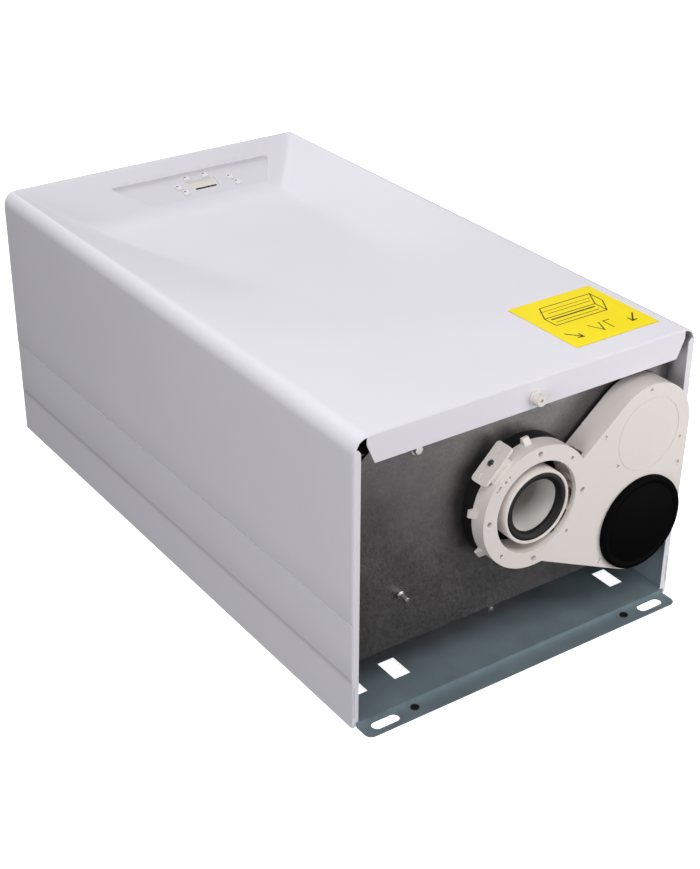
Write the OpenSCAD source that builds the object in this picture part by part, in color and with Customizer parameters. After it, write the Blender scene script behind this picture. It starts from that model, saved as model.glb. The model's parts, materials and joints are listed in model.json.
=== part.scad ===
// Wall-hung condensing boiler, lying on its back.
// +Z points out of the front casing, -Y is the flue end, +Y is the control and pipe end.
// The origin is on the wall side, under the centre of the casing.

/* [Casing] */
// Width of the casing
body_w = 420; // [410:1:440]
// Length of the casing from flue end to pipe end
body_l = 736; // [730:1:760]
// Depth of the casing from wall to front
body_d = 322; // [320:1:330]
// Radius of the long front edges
edge_r = 18; // [14:1:22]
// Sheet thickness of the casing and the frame
sheet = 1.2; // [1:0.1:1.5]
// Depth of the folded lip at each end of the front
lip_d = 30; // [26:1:32]
// Width of the return flange at each end of a side
return_w = 9; // [7:0.5:9]

/* [Front dish] */
// Depth of the dish under the front face
dish_depth = 41.5; // [36:0.5:42]
// Distance from the flue end to the start of the dish
dish_start = 160; // [150:1:180]
// Slope of the dish's control end
dish_slope = 25; // [24:0.5:28]
// Half width of the dish floor at its shallow end
floor_near = 59; // [50:1:70]
// Half width of the dish floor at its deep end
floor_far = 134; // [125:1:140]

/* [Controls] */
// Side of a square control button
button_a = 8.5; // [7:0.5:9]
// Travel of a control button
button_travel = 0.8; // [0.5:0.1:1]
// Width of the display window
window_w = 40; // [36:1:42]

/* [Flue] */
// Height of the flue centre above the wall
flue_z = 187; // [185:1:190]
// Radius of the outer air opening, for a 100 mm air pipe
air_r = 50; // [50:0.5:51]
// Radius of the flue socket's outside
socket_r = 40.3; // [40:0.1:41]
// Radius inside the lip of the flue seal, for a 60 mm flue pipe
seal_r = 28.2; // [28:0.1:29]
// Pitch circle of the flue flange screws
flange_pcd = 118.4; // [118:0.1:119]
// Radius of the flange screw holes
flange_hole_r = 3; // [2.5:0.1:3.2]

/* [Wall frame] */
// Distance between the centres of the two wall slots
slot_pitch = 352; // [350:1:354]
// Length of a wall slot
slot_l = 32; // [30:1:34]
// Width of a wall slot
slot_w = 12; // [10:0.5:12]
// Width of the wall flange beyond the casing
flange_y = 22; // [20:0.5:24]

/* [Connections] */
// Distance between neighbouring pipe connections
pipe_pitch = 65; // [64:0.5:66]
// Height of the pipe connections above the wall
pipe_z = 72; // [70:1:74]
// Radius of a three-quarter inch connection
r34 = 13.2; // [13:0.1:13.4]
// Radius of a half inch connection
r12 = 10.5; // [10.3:0.1:10.6]

/* [Hidden] */
$fn = 48;

gap = 0.3;
half_w = body_w / 2;
rim_x = half_w - edge_r;
casing_in = half_w - sheet;
dish_end_l = dish_depth / tan(dish_slope);
dish_deep_y = body_l - dish_end_l;

// control panel, measured down the slope from the far edge of the casing
fascia_top = 31.5;
fascia_bottom = 78;
fascia_top_x = [-80, 145];
fascia_bottom_x = [-52, 123];
fascia_face = -3.2;
fascia_t = 2.4;
window_x = 38;
window_at = 55;
window_h = 17;
board_drop = 6;
switch_h = 1.8;
button_spots = [[21.5, 40.5], [47.5, 40.5], [4, 53], [78, 53], [9.5, 64], [83.5, 64]];

// frame and chamber
plate_z = 5;
flange_top = -0.4;
frame_x = 206;
shelf_z = 62;
bracket_y = 722;
panel_y = 20;
chamber_x = 189.2;
chamber_end = 470;
chamber_top = 285;
screw_x = -125.8;
screw_z = 277.6;
pin_x = -139.5;
pin_z = 119.8;

// flue manifold
face_y = -13;
band_y = 5;
back_y = 17;
ring_r = 67;
band_r = 64;
wall = 3.5;
upper_c = [144.2, 223.5];
upper_r = 56.2;
lower_c = [142, 121.6];
lower_r = 56;
neck_r = 55.6;
neck_start = [20, 192.3];
upper_n = [-0.64, 0.768];
lower_n = [-0.422, -0.906];
cap_r = 53.4;
plug_r = 47;
test_r = 72;
test_x = 6.5;
rim_y = -13.5;
seal_y = -4.5;
tab_x = -23;
tab_z = 57;
port_r = 47.1;

// heat exchanger, fan and burner
hx_y = 275;
shell_r = 98;
shell_z = 78;
shell_top = 228;
coil_r = 78;
coil_tube = 7;
header_x = 40;
header_y = 67;
return_z = 188;
flow_z = 100;
drain_r = 7;
drain_z = 88;
door_top = 236;
fan_y = 423;
fan_r = 44;
fan_z = 200;
fan_top = 262;
impeller_r = 37;

// water side
pump_x = -2 * pipe_pitch;
pump_y = 650;
pump_top = 90;
block_x = 2 * pipe_pitch;
stub_end = body_l + flange_y;
trap_x = -95;
trap_z = 105;
trap_in_z = 96;
outlet_z = 35;
diverter_y = 630;
relief_y = 685;

// Sizes measured from the flue end become sizes about the middle of the casing
module placed() {
    translate([0, -body_l / 2, 0]) children();
}

// A box given by its low and high corners
module box(low, high) {
    translate(low) cube(high - low);
}

// A round bar along Y between two stations
module bar_y(x, z, r, y0, y1) {
    translate([x, y1, z]) rotate([90, 0, 0]) cylinder(r = r, h = y1 - y0);
}

// A round bar along Z
module bar_z(x, y, r, z0, z1) {
    translate([x, y, z0]) cylinder(r = r, h = z1 - z0);
}

// A flat shape drawn in X and Z, extruded along Y between two stations
module plate_y(y0, y1) {
    translate([0, y1, 0]) rotate([90, 0, 0]) linear_extrude(y1 - y0) children();
}

// A flat shape with rounded corners
module rounded(w, h, r) {
    square([w - 2 * r, h], center = true);
    square([w, h - 2 * r], center = true);
    for (sx = [-1, 1], sy = [-1, 1])
        translate([sx * (w / 2 - r), sy * (h / 2 - r)]) circle(r);
}

// A pipe through a list of points, with a slightly fuller ball at each bend, its poles turned
module run(points, r, fuller = 1.5, turn = 90) {
    for (i = [0 : len(points) - 2]) {
        leg = points[i + 1] - points[i];
        reach = norm(leg);
        translate(points[i])
            rotate([0, acos(leg[2] / reach), atan2(leg[1], leg[0])])
                cylinder(r = r, h = reach);
    }
    for (i = [1 : 1 : len(points) - 2])
        translate(points[i]) rotate([turn, 0, 0]) sphere(r = r + fuller);
}

// Work plane on the dish's control end: X across, Y up the slope, Z out of the surface
module on_slope(x, down, out) {
    translate([x, body_l, body_d]) rotate([dish_slope, 0, 0]) translate([0, -down, out]) children();
}

// Outline of the control panel, grown by g
module fascia_outline(g, h) {
    corners = [
        [fascia_top_x[0] + 4, -fascia_top - 3, 3],
        [fascia_top_x[1] - 8, -fascia_top - 6, 6],
        [fascia_bottom_x[1] - 7, -fascia_bottom + 9, 9],
        [fascia_bottom_x[0] + 13, -fascia_bottom + 14, 14]
    ];
    hull()
        for (c = corners)
            translate([c[0], c[1], 0]) cylinder(r = c[2] + g, h = h, $fn = 32);
}

// Rows of the front skin: station along Y, half width of the floor, depth
function dish_rows() = concat(
    [[0, floor_near, 0]],
    [for (i = [0 : 4])
        let (s = i / 4)
        [dish_start + (dish_deep_y - dish_start) * s,
         floor_near + (floor_far - floor_near) * s,
         dish_depth * s]],
    [[body_l, rim_x - 0.2, 0]]
);

// Front sheet with its dish, as one thin closed skin
module front_skin() {
    rows = dish_rows();
    across = 6;
    layer = len(rows) * across;
    function xs(foot) = [-rim_x - 0.4, -rim_x, -foot, foot, rim_x, rim_x + 0.4];
    function deep(d) = [0, 0, d, d, 0, 0];
    function skin(top) = [
        for (row = rows)
            for (c = [0 : across - 1])
                [xs(row[1])[c], row[0], top - deep(row[2])[c]]
    ];
    function at(r, c, side) = side * layer + r * across + c;
    cells = [for (r = [0 : len(rows) - 2]) for (c = [0 : across - 2]) [r, c]];
    over = [for (k = cells) each [
        [at(k[0], k[1], 0), at(k[0] + 1, k[1], 0), at(k[0] + 1, k[1] + 1, 0)],
        [at(k[0], k[1], 0), at(k[0] + 1, k[1] + 1, 0), at(k[0], k[1] + 1, 0)]
    ]];
    under = [for (f = over) [f[0] + layer, f[2] + layer, f[1] + layer]];
    last = len(rows) - 1;
    ends = [for (c = [0 : across - 2]) each [
        [at(0, c, 0), at(0, c + 1, 0), at(0, c + 1, 1), at(0, c, 1)],
        [at(last, c + 1, 0), at(last, c, 0), at(last, c, 1), at(last, c + 1, 1)]
    ]];
    sides = [for (r = [0 : last - 1]) each [
        [at(r + 1, 0, 0), at(r, 0, 0), at(r, 0, 1), at(r + 1, 0, 1)],
        [at(r, across - 1, 0), at(r + 1, across - 1, 0),
         at(r + 1, across - 1, 1), at(r, across - 1, 1)]
    ]];
    polyhedron(concat(skin(body_d), skin(body_d - sheet)), concat(over, under, ends, sides));
}

// Section of the casing's sides and rounded edges, or of the space inside them
module casing_section(inset) {
    x = half_w - inset;
    top = body_d - inset;
    r = edge_r - inset;
    translate([-x, 0]) square([2 * x, top - r]);
    translate([-x + r, 0]) square([2 * (x - r), top]);
    for (s = [-1, 1])
        translate([s * (x - r), top - r]) circle(r);
}

// Folded lip across one end of the front
module end_lip(y0) {
    plate_y(y0, y0 + sheet)
        polygon([
            [-rim_x, body_d - sheet / 2], [-rim_x, body_d - lip_d / 3],
            [-rim_x + 9, body_d - lip_d], [rim_x - 9, body_d - lip_d],
            [rim_x, body_d - lip_d / 3], [rim_x, body_d - sheet / 2]
        ]);
}

// Narrow return flanges at one end of both sides, each with a long slot
module end_returns(y0) {
    slot_x = half_w - 3.6;
    difference() {
        for (s = [-1, 1])
            box([s > 0 ? half_w - return_w : -half_w + sheet / 2, y0, 0],
                [s > 0 ? half_w - sheet / 2 : -half_w + return_w, y0 + sheet, 309]);
        for (s = [-1, 1])
            box([s * slot_x - 1.2, y0 - 1, 12], [s * slot_x + 1.2, y0 + sheet + 1, 50]);
    }
}

module front_casing() {
    color("white")
        placed()
            difference() {
                union() {
                    difference() {
                        plate_y(0, body_l) casing_section(0);
                        plate_y(-1, body_l + 1) casing_section(sheet);
                        box([-casing_in, -1, -1], [casing_in, body_l + 1, 100]);
                        box([-rim_x, -1, body_d - 2 * sheet], [rim_x, body_l + 1, body_d + 1]);
                    }
                    front_skin();
                    end_lip(0);
                    end_lip(body_l - sheet);
                    end_returns(0);
                    end_returns(body_l - sheet);
                }
                on_slope(0, 0, -6) fascia_outline(0, 12);
            }
}

module casing_peg() {
    color("ivory")
        placed()
            difference() {
                union() {
                    bar_y(0, 302, 6, -10, 0);
                    bar_y(0, 302, 7.5, -3, 0);
                }
                bar_y(0, 302, 1.6, -11, -4);
            }
}

module instruction_label() {
    color("yellow")
        placed()
            box([75, 28, body_d], [185, 134, body_d + 0.25]);
}

module control_fascia() {
    color("white")
        placed()
            difference() {
                union() {
                    on_slope(0, 0, fascia_face - fascia_t) fascia_outline(3, fascia_t);
                    on_slope(0, 0, fascia_face) difference() {
                        fascia_outline(3, -fascia_face - sheet - gap);
                        translate([0, 0, -1]) fascia_outline(0.4, 6);
                    }
                }
                on_slope(window_x, window_at, fascia_face - 5)
                    translate([0, 0, 4])
                        cube([window_w, window_h, 10], center = true);
                for (b = button_spots)
                    on_slope(b[0], b[1], fascia_face - 5)
                        translate([0, 0, 4])
                            cube([button_a + 2 * gap, button_a + 2 * gap, 10], center = true);
            }
}

module display_window() {
    color("lightyellow")
        placed()
            on_slope(window_x, window_at, fascia_face - fascia_t)
                translate([0, 0, 0.6])
                    cube([window_w - 0.1, window_h - 0.1, 1.2], center = true);
}

module display_module() {
    color("dimgray")
        placed()
            on_slope(window_x, window_at, fascia_face - fascia_t - 2.2)
                cube([window_w + 4, window_h - 1, 4], center = true);
}

// A printed board under the fascia, with one small switch under each button
module control_board() {
    board_out = fascia_face - fascia_t - board_drop;
    color("darkgreen")
        placed() {
            on_slope(30, window_at, board_out)
                translate([0, 0, -0.8]) cube([150, 38, 1.6], center = true);
            for (b = button_spots)
                on_slope(b[0], b[1], board_out)
                    translate([0, 0, switch_h / 2]) cube([6, 6, switch_h], center = true);
        }
}

// Tray that carries the board and the fascia, standing on the pipe end bracket
module control_housing() {
    tray_out = fascia_face - fascia_t;
    color("gray")
        placed() {
            difference() {
                on_slope(30, window_at, tray_out - 10)
                    translate([0, 0, 5]) cube([160, 46, 10], center = true);
                on_slope(30, window_at, tray_out - board_drop - 1.6)
                    translate([0, 0, 5]) cube([154, 42, 10], center = true);
            }
            for (x = [-40, 90]) {
                on_slope(x + 7, 45, tray_out - 22)
                    translate([0, 0, 6.2]) cube([14, 16, 12.4], center = true);
                box([x, 700, 268], [x + 14, bracket_y, 284]);
            }
        }
}

// One square button with its stem, pressed into the slope
module button(i) {
    stem_end = switch_h - fascia_t - board_drop + gap + button_travel;
    color("whitesmoke")
        placed()
            on_slope(button_spots[i][0], button_spots[i][1], fascia_face)
                union() {
                    translate([0, 0, -0.95]) cube([button_a, button_a, 3.5], center = true);
                    translate([0, 0, -3.1]) cube([button_a + 2, button_a + 2, 0.8], center = true);
                    translate([0, 0, stem_end]) cylinder(r = 1.8, h = 2);
                }
}

module rear_frame() {
    color("slategray")
        placed()
            difference() {
                union() {
                    box([-half_w + return_w + 0.6, flange_top, plate_z],
                        [half_w - return_w - 0.6, 3, plate_z + sheet]);
                    box([-frame_x, 3, plate_z], [frame_x, 700, plate_z + sheet]);
                    box([-204, flange_top - sheet, 0], [204, flange_top, plate_z + sheet]);
                    translate([0, flange_top - flange_y / 2, 0])
                        linear_extrude(sheet) rounded(408, flange_y, 8);
                    box([-204, -flange_y / 2, 0], [204, flange_top, sheet]);
                    box([-frame_x, 700 - sheet, 0], [frame_x, 700, plate_z + sheet]);
                    box([-frame_x, 700 - sheet, 0], [frame_x, body_l - 3, sheet]);
                    for (s = [-1, 1]) {
                        box([s > 0 ? frame_x - sheet : -frame_x, 3, plate_z],
                            [s > 0 ? frame_x : -frame_x + sheet, 700, shelf_z]);
                        box([s > 0 ? 190 : -frame_x, 22, shelf_z - sheet],
                            [s > 0 ? frame_x : -190, 480, shelf_z]);
                    }
                }
                for (s = [-1, 1]) {
                    translate([s * slot_pitch / 2, -10, -1])
                        linear_extrude(4) {
                            square([slot_l - slot_w, slot_w], center = true);
                            for (e = [-1, 1])
                                translate([e * (slot_l - slot_w) / 2, 0]) circle(slot_w / 2);
                        }
                    translate([s * 139.5, -9, -1]) cylinder(r = 4.2, h = 4);
                }
                box([-188, 34, 0], [-165.5, 65, 10]);
                box([-132.7, 34, 0], [-112.3, 65, 10]);
                box([159, 34, 0], [177.5, 65, 10]);
            }
}

// Plate across the pipe end, with a hole for each pipe and one for the cables
module bottom_bracket() {
    y1 = bracket_y + sheet;
    color("silver")
        placed()
            difference() {
                union() {
                    box([-204, bracket_y, sheet], [204, y1, 268]);
                    box([-60, bracket_y, 268], [110, y1, 284]);
                }
                for (i = [-2 : 2])
                    bar_y(i * pipe_pitch, pipe_z, 16, bracket_y - 1, y1 + 1);
                bar_y(trap_x, outlet_z, 12.5, bracket_y - 1, y1 + 1);
                bar_y(0, 150, 14, bracket_y - 1, y1 + 1);
            }
}

module chamber_top_panel() {
    color("gray")
        placed()
            difference() {
                union() {
                    plate_y(panel_y, panel_y + sheet)
                        polygon([
                            [-198, 61], [198, 61], [198, 274.5],
                            [176, 291.5], [-176, 291.5], [-198, 274.5]
                        ]);
                    box([-198, panel_y, 60.4], [198, panel_y + 1.6, 61.6]);
                    box([tab_x - 4, panel_y, tab_z - 3.5], [tab_x + 4, panel_y + sheet, 61]);
                }
                bar_y(0, flue_z, air_r, panel_y - 1, panel_y + 3);
                bar_y(screw_x, screw_z, 2.1, panel_y - 1, panel_y + 3);
                bar_y(pin_x, pin_z, 2.6, panel_y - 1, panel_y + 3);
                bar_y(tab_x, tab_z, 1.1, panel_y - 1, panel_y + 3);
            }
}

module chamber_body() {
    y0 = panel_y + 2;
    color("silver")
        placed()
            difference() {
                union() {
                    box([-chamber_x, y0, shelf_z], [chamber_x, chamber_end, chamber_top]);
                    box([-203, y0, shelf_z], [203, chamber_end, shelf_z + sheet]);
                }
                box([-chamber_x + sheet, y0 - 1, shelf_z + sheet],
                    [chamber_x - sheet, chamber_end - sheet, chamber_top + 1]);
                for (p = [[-header_x, return_z], [header_x, flow_z], [62, 140], [trap_x, trap_in_z]])
                    bar_y(p[0], p[1], 12, chamber_end - 3, chamber_end + 1);
            }
}

module chamber_seal() {
    color("black")
        placed()
            difference() {
                box([-chamber_x, panel_y + 2, chamber_top], [chamber_x, chamber_end, chamber_top + 2]);
                box([-chamber_x + 8, panel_y + 10, chamber_top - 1],
                    [chamber_x - 8, chamber_end - 8, chamber_top + 3]);
            }
}

module chamber_cover() {
    top = chamber_top + 2;
    x = chamber_x + 2;
    color("silver")
        placed() {
            box([-x, panel_y + 2, top], [x, chamber_end + 2, top + sheet]);
            for (s = [-1, 1])
                box([s > 0 ? x - sheet : -x, panel_y + 2, top - 12],
                    [s > 0 ? x : -x + sheet, chamber_end + 2, top + sheet]);
            box([-x, chamber_end + 2 - sheet, top - 12], [x, chamber_end + 2, top + sheet]);
            box([-150, 60, top + sheet], [150, 64, top + sheet + 2.5]);
            box([-150, 420, top + sheet], [150, 424, top + sheet + 2.5]);
        }
}

// Washer-head screw and small tab screw in the chamber panel, and the test cover's screw
module screws() {
    color("silver")
        placed() {
            bar_y(screw_x, screw_z, 6.4, panel_y - 1.6, panel_y);
            translate([screw_x, panel_y - 1.6, screw_z])
                rotate([90, 0, 0]) cylinder(r = 4.6, h = 4.6, $fn = 6);
            bar_y(screw_x, screw_z, 2, panel_y - 2, panel_y + 9);
            bar_y(tab_x, tab_z, 2.2, panel_y - 1.4, panel_y);
            bar_y(tab_x, tab_z, 1, panel_y - 1, panel_y + 5);
            on_test_face() {
                cylinder(r = 1.8, h = 3);
                translate([0, 0, 3]) cylinder(r = 3.6, h = 1.6);
            }
        }
}

module panel_pin() {
    color("gainsboro")
        placed() {
            bar_y(pin_x, pin_z, 2.5, panel_y - 13, panel_y + 6);
            bar_y(pin_x, pin_z, 4.2, panel_y - 2, panel_y);
        }
}

// Outline of the air chamber beside the flue, with its walls moved in by g
module tear(g, y0, y1) {
    low = lower_c + lower_n * (lower_r - g);
    up = upper_c + upper_n * (upper_r - g);
    plate_y(y0, y1)
        polygon([
            neck_start - upper_n * g, up, upper_c,
            [upper_c[0] + upper_r - g, upper_c[1]],
            [lower_c[0] + lower_r - g, lower_c[1]],
            lower_c, low, [0, flue_z] + lower_n * (neck_r - g)
        ]);
    bar_y(upper_c[0], upper_c[1], upper_r - g, y0, y1);
    bar_y(lower_c[0], lower_c[1], lower_r - g, y0, y1);
}

// Places round the flange for the screw holes
module round_flange(angles) {
    for (a = angles)
        translate([flange_pcd / 2 * cos(a), 0, flue_z + flange_pcd / 2 * sin(a)]) children();
}

module flue_manifold() {
    main = [0, 90, 180, 270];
    small = [45, -45, -135];
    lugs = [96, 173, 215];
    windows = [[-58, -26], [-20, 12], [20, 44]];
    color("white")
        placed() {
            difference() {
                union() {
                    bar_y(0, flue_z, ring_r, face_y, band_y);
                    bar_y(0, flue_z, band_r, face_y, back_y);
                    tear(0, face_y, back_y);
                    for (a = lugs)
                        translate([0, 0, flue_z]) rotate([0, -a, 0]) translate([0, 0, -4])
                            linear_extrude(8)
                                polygon([[60, -8], [73, 2], [73, band_y], [60, band_y]]);
                    test_seat(0);
                }
                bar_y(0, flue_z, air_r, face_y - 1, back_y + 1);
                difference() {
                    tear(wall, face_y + wall, back_y - wall);
                    bar_y(0, flue_z, ring_r, face_y, back_y);
                }
                difference() {
                    for (w = windows)
                        translate([0, 0, flue_z]) rotate([0, -(w[0] + w[1]) / 2, 0])
                            box([air_r - 4, face_y + 6, -air_r * sin((w[1] - w[0]) / 2)],
                                [ring_r + 5, back_y - 6, air_r * sin((w[1] - w[0]) / 2)]);
                    for (a = [0, 45, -45])
                        translate([flange_pcd / 2 * cos(a), 0, flue_z + flange_pcd / 2 * sin(a)])
                            bar_y(0, 0, 5.5, face_y, back_y);
                }
                round_flange(main) bar_y(0, 0, flange_hole_r, face_y - 1, face_y + 6);
                round_flange(small) bar_y(0, 0, 2, face_y - 1, face_y + 5);
                difference() {
                    bar_y(upper_c[0], upper_c[1], 41, face_y - 1, face_y + 0.4);
                    bar_y(upper_c[0], upper_c[1], 40.3, face_y - 2, face_y + 1);
                }
                translate([0, 0, flue_z]) rotate([0, -45, 0]) {
                    box([-13.5, face_y - 1, 59], [-6, face_y + 4, 61.5]);
                    for (p = [[0, 58.6, 1.6], [6, 58.3, 1.2]])
                        bar_y(p[0], p[1], p[2], face_y - 1, face_y + 4);
                }
                bar_y(lower_c[0], lower_c[1], port_r, face_y - 1, face_y + wall + 1);
                for (p = [[84.3, 237.5], [190, 176], [91, 91.5]])
                    bar_y(p[0], p[1], 3, face_y - 1, face_y + 2);
                for (p = [[142, 274], [189.5, 207], [104.8, 198.5]])
                    bar_y(p[0], p[1], 2, face_y - 1, face_y + 2);
            }
        }
}

// Block under the test point cover, grown by g
module test_seat(g) {
    translate([0, 0, flue_z]) rotate([0, -45, 0])
        box([test_x - 15 - g, -8, 60], [test_x + 13 + g, 12 + g, test_r + g]);
}

// Flat ring under the flange, with a band that wraps the flange's side
module flue_gasket() {
    color("black")
        placed()
            difference() {
                bar_y(0, flue_z, 67.5, band_y, panel_y);
                bar_y(0, flue_z, band_r, band_y - 1, back_y);
                tear(-gap, band_y - 1, back_y);
                test_seat(gap);
                bar_y(0, flue_z, air_r, back_y - 1, panel_y + 1);
            }
}

module manifold_gasket() {
    color("black")
        placed()
            difference() {
                tear(-0.4, back_y, panel_y);
                tear(8, back_y - 1, panel_y + 1);
                bar_y(0, flue_z, 67.8, back_y - 1, panel_y + 1);
            }
}

module air_intake_cap() {
    color("black")
        placed() {
            bar_y(lower_c[0], lower_c[1], cap_r, face_y - 5.5, face_y);
            bar_y(lower_c[0], lower_c[1], plug_r, face_y, face_y + wall);
        }
}

module flue_socket() {
    color("white")
        placed()
            difference() {
                bar_y(0, flue_z, socket_r, rim_y, 60);
                bar_y(0, flue_z, 36.8, rim_y - 1, 61);
            }
}

module flue_seal() {
    color("black")
        placed()
            difference() {
                bar_y(0, flue_z, 36.8, rim_y + 1, seal_y);
                bar_y(0, flue_z, seal_r, rim_y, seal_y + 1);
            }
}

module flue_duct() {
    color("wheat")
        placed()
            difference() {
                bar_y(0, flue_z, 36.8, seal_y, 176);
                bar_y(0, flue_z, 33.6, seal_y - 1, 177);
            }
}

// Work plane on the seat of the test point cover: X along the cover, Z away from the flue
module on_test_face() {
    translate([0, 2, flue_z]) rotate([0, -45, 0]) translate([test_x, 0, test_r]) children();
}

module test_point_cover() {
    color("white")
        placed()
            on_test_face()
                difference() {
                    linear_extrude(3) rounded(46, 22, 4);
                    translate([0, 0, -1]) cylinder(r = 1.9, h = 6);
                }
}

module exchanger_shell() {
    color("silver")
        placed()
            difference() {
                union() {
                    bar_z(0, hx_y, shell_r, shell_z, shell_top);
                    bar_y(0, flue_z, 40, 162, 200);
                    bar_y(0, drain_z, drain_r, hx_y + 90, 386);
                    for (s = [-1, 1])
                        box([s * 70 - 12, hx_y - 20, shelf_z + sheet],
                            [s * 70 + 12, hx_y + 20, shell_z + 1]);
                }
                bar_z(0, hx_y, shell_r - 3, shell_z + 3, shell_top + 1);
                bar_y(0, flue_z, 36.8, 161, 200);
                for (s = [-1, 1])
                    bar_y(s * header_x, s > 0 ? flow_z : return_z, 8.2, hx_y + 60, hx_y + 110);
            }
}

// Stacked tube coil with two headers and their connections
module exchanger_coil() {
    color("lightgray")
        placed() {
            for (i = [0 : 4])
                translate([0, hx_y, 99 + 24 * i])
                    rotate_extrude() translate([coil_r, 0]) circle(coil_tube, $fn = 16);
            for (s = [-1, 1]) {
                bar_z(s * header_x, hx_y + header_y, 6, 92, 202);
                bar_y(s * header_x, s > 0 ? flow_z : return_z, 8, hx_y + header_y, 392);
            }
        }
}

module exchanger_door() {
    color("silver")
        placed()
            difference() {
                union() {
                    bar_z(0, hx_y, shell_r, shell_top, door_top);
                    for (a = [45 : 90 : 315])
                        translate([0, hx_y, 0]) rotate([0, 0, a])
                            bar_z(shell_r - 8, 0, 5, door_top - 1, door_top + 5);
                }
                bar_z(0, hx_y, 20, shell_top - 1, door_top + 1);
                bar_z(-52, hx_y, 5, shell_top - 1, door_top + 1);
            }
}

module door_insulation() {
    color("white")
        placed()
            difference() {
                bar_z(0, hx_y, 66, shell_top - 14, shell_top);
                bar_z(0, hx_y, 36, shell_top - 15, shell_top + 1);
                bar_z(-52, hx_y, 5, shell_top - 15, shell_top + 1);
            }
}

module burner() {
    color("gray")
        placed()
            difference() {
                bar_z(0, hx_y, 35, 112, shell_top);
                bar_z(0, hx_y, 33.5, 114, shell_top + 1);
            }
}

module ignition_electrode() {
    color("white")
        placed() {
            bar_z(-52, hx_y, 4.95, shell_top - 20, door_top + 16);
            bar_z(-52, hx_y, 1.2, shell_top - 60, shell_top - 20);
            box([-52, hx_y - 1, shell_top - 62], [-38, hx_y + 1, shell_top - 60]);
        }
}

module fan_housing() {
    color("silver")
        placed()
            difference() {
                union() {
                    bar_z(0, fan_y, fan_r, fan_z, fan_top);
                    box([-22, 372, 238], [22, fan_y - 20, fan_top]);
                }
                bar_z(0, fan_y, fan_r - 3, fan_z + 3, fan_top - 3);
                bar_z(0, fan_y, 20, fan_z - 1, fan_z + 4);
                bar_z(0, fan_y, 6, fan_top - 4, fan_top + 1);
                box([-19, 371, 241], [19, fan_y - 20, fan_top - 3]);
            }
}

module fan_impeller() {
    color("lightgray")
        placed()
            translate([0, fan_y, 0]) {
                difference() {
                    cylinder_at(impeller_r, fan_z + 8, fan_z + 10);
                    cylinder_at(16, fan_z + 7, fan_z + 11);
                }
                cylinder_at(impeller_r, fan_z + 46, fan_z + 48);
                cylinder_at(8, fan_z + 20, fan_z + 48);
                for (a = [0 : 30 : 330])
                    rotate([0, 0, a])
                        box([22, -0.8, fan_z + 10], [impeller_r - 0.5, 0.8, fan_z + 46]);
                cylinder_at(4, fan_z + 40, fan_top + 8);
            }
}

// A cylinder on the Z axis between two heights
module cylinder_at(r, z0, z1) {
    translate([0, 0, z0]) cylinder(r = r, h = z1 - z0);
}

module fan_motor() {
    color("dimgray")
        placed()
            difference() {
                union() {
                    bar_z(0, fan_y, 30, fan_top, fan_top + 20);
                    for (a = [60 : 120 : 300])
                        translate([0, fan_y, 0]) rotate([0, 0, a])
                            box([20, -5, fan_top], [38, 5, fan_top + 4]);
                }
                bar_z(0, fan_y, 4.05, fan_top - 1, fan_top + 12);
            }
}

module air_gas_duct() {
    color("silver")
        placed()
            difference() {
                union() {
                    box([-26, 250, door_top], [26, 372, fan_top]);
                    bar_z(0, 250, 26, door_top, fan_top);
                }
                box([-22, 250, door_top + 3], [22, 373, fan_top - 3]);
                bar_z(0, 250, 22, door_top + 3, fan_top - 3);
                bar_z(0, hx_y, 20, door_top - 1, door_top + 4);
            }
}

module gas_mixer() {
    color("dimgray")
        placed()
            difference() {
                union() {
                    bar_z(0, fan_y, 26, 150, fan_z);
                    translate([20, fan_y, 160]) rotate([0, 90, 0]) cylinder(r = 9, h = 14);
                }
                bar_z(0, fan_y, 16, 149, fan_z + 1);
                translate([10, fan_y, 160]) rotate([0, 90, 0]) cylinder(r = 6, h = 25);
            }
}

module gas_valve() {
    color("gray")
        placed() {
            box([34, 396, 118], [90, 452, 172]);
            bar_z(48, 424, 13, 172, 196);
            bar_z(76, 424, 11, 172, 190);
            bar_y(62, 140, 11, 452, 462);
        }
}

module air_silencer() {
    color("black")
        placed()
            difference() {
                union() {
                    box([-82, 384, 110], [33, 460, 146]);
                    bar_z(0, fan_y, 20, 146, 150);
                }
                box([-79, 387, 113], [30, 457, 143]);
                bar_z(0, fan_y, 16, 140, 151);
                bar_z(-60, fan_y, 14, 140, 150);
            }
}

module gas_pipe() {
    color("goldenrod")
        placed()
            difference() {
                union() {
                    run([[62, 462, 140], [62, 500, 140], [0, 560, pipe_z + 20],
                         [0, 590, pipe_z], [0, body_l + 1, pipe_z]], 8);
                    bar_y(0, pipe_z, r34, body_l, stub_end);
                }
                bar_y(0, pipe_z, 8, body_l + 2, stub_end + 1);
            }
}

module expansion_vessel() {
    color("firebrick")
        placed() {
            difference() {
                union() {
                    translate([0, 290, 10]) linear_extrude(46) rounded(300, 330, 60);
                    translate([0, 290, 31]) linear_extrude(4) rounded(310, 340, 65);
                }
                translate([0, 290, 12]) linear_extrude(42) rounded(296, 326, 58);
            }
            bar_y(-110, 32, 9, 453, 462);
        }
}

module vessel_hose() {
    color("gray")
        placed()
            run([[-110, 462, 32], [-110, 560, 32], [pump_x, 600, 32],
                 [pump_x, 640, 32], [pump_x, 640, 50]], 5, 0.5, 0);
}

module condensate_trap() {
    color("lightgray")
        placed()
            difference() {
                union() {
                    bar_y(trap_x, trap_z, 23, 486, 590);
                    bar_y(trap_x, trap_z, 25, 560, 574);
                    bar_z(trap_x, 578, 9, outlet_z, trap_z);
                    bar_y(trap_x, outlet_z, 9.2, 569, body_l);
                    bar_y(trap_x, outlet_z, 10, body_l, stub_end);
                    bar_y(trap_x, trap_in_z, 9, 478, 487);
                }
                bar_y(trap_x, outlet_z, 8, 600, stub_end + 1);
            }
}

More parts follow.
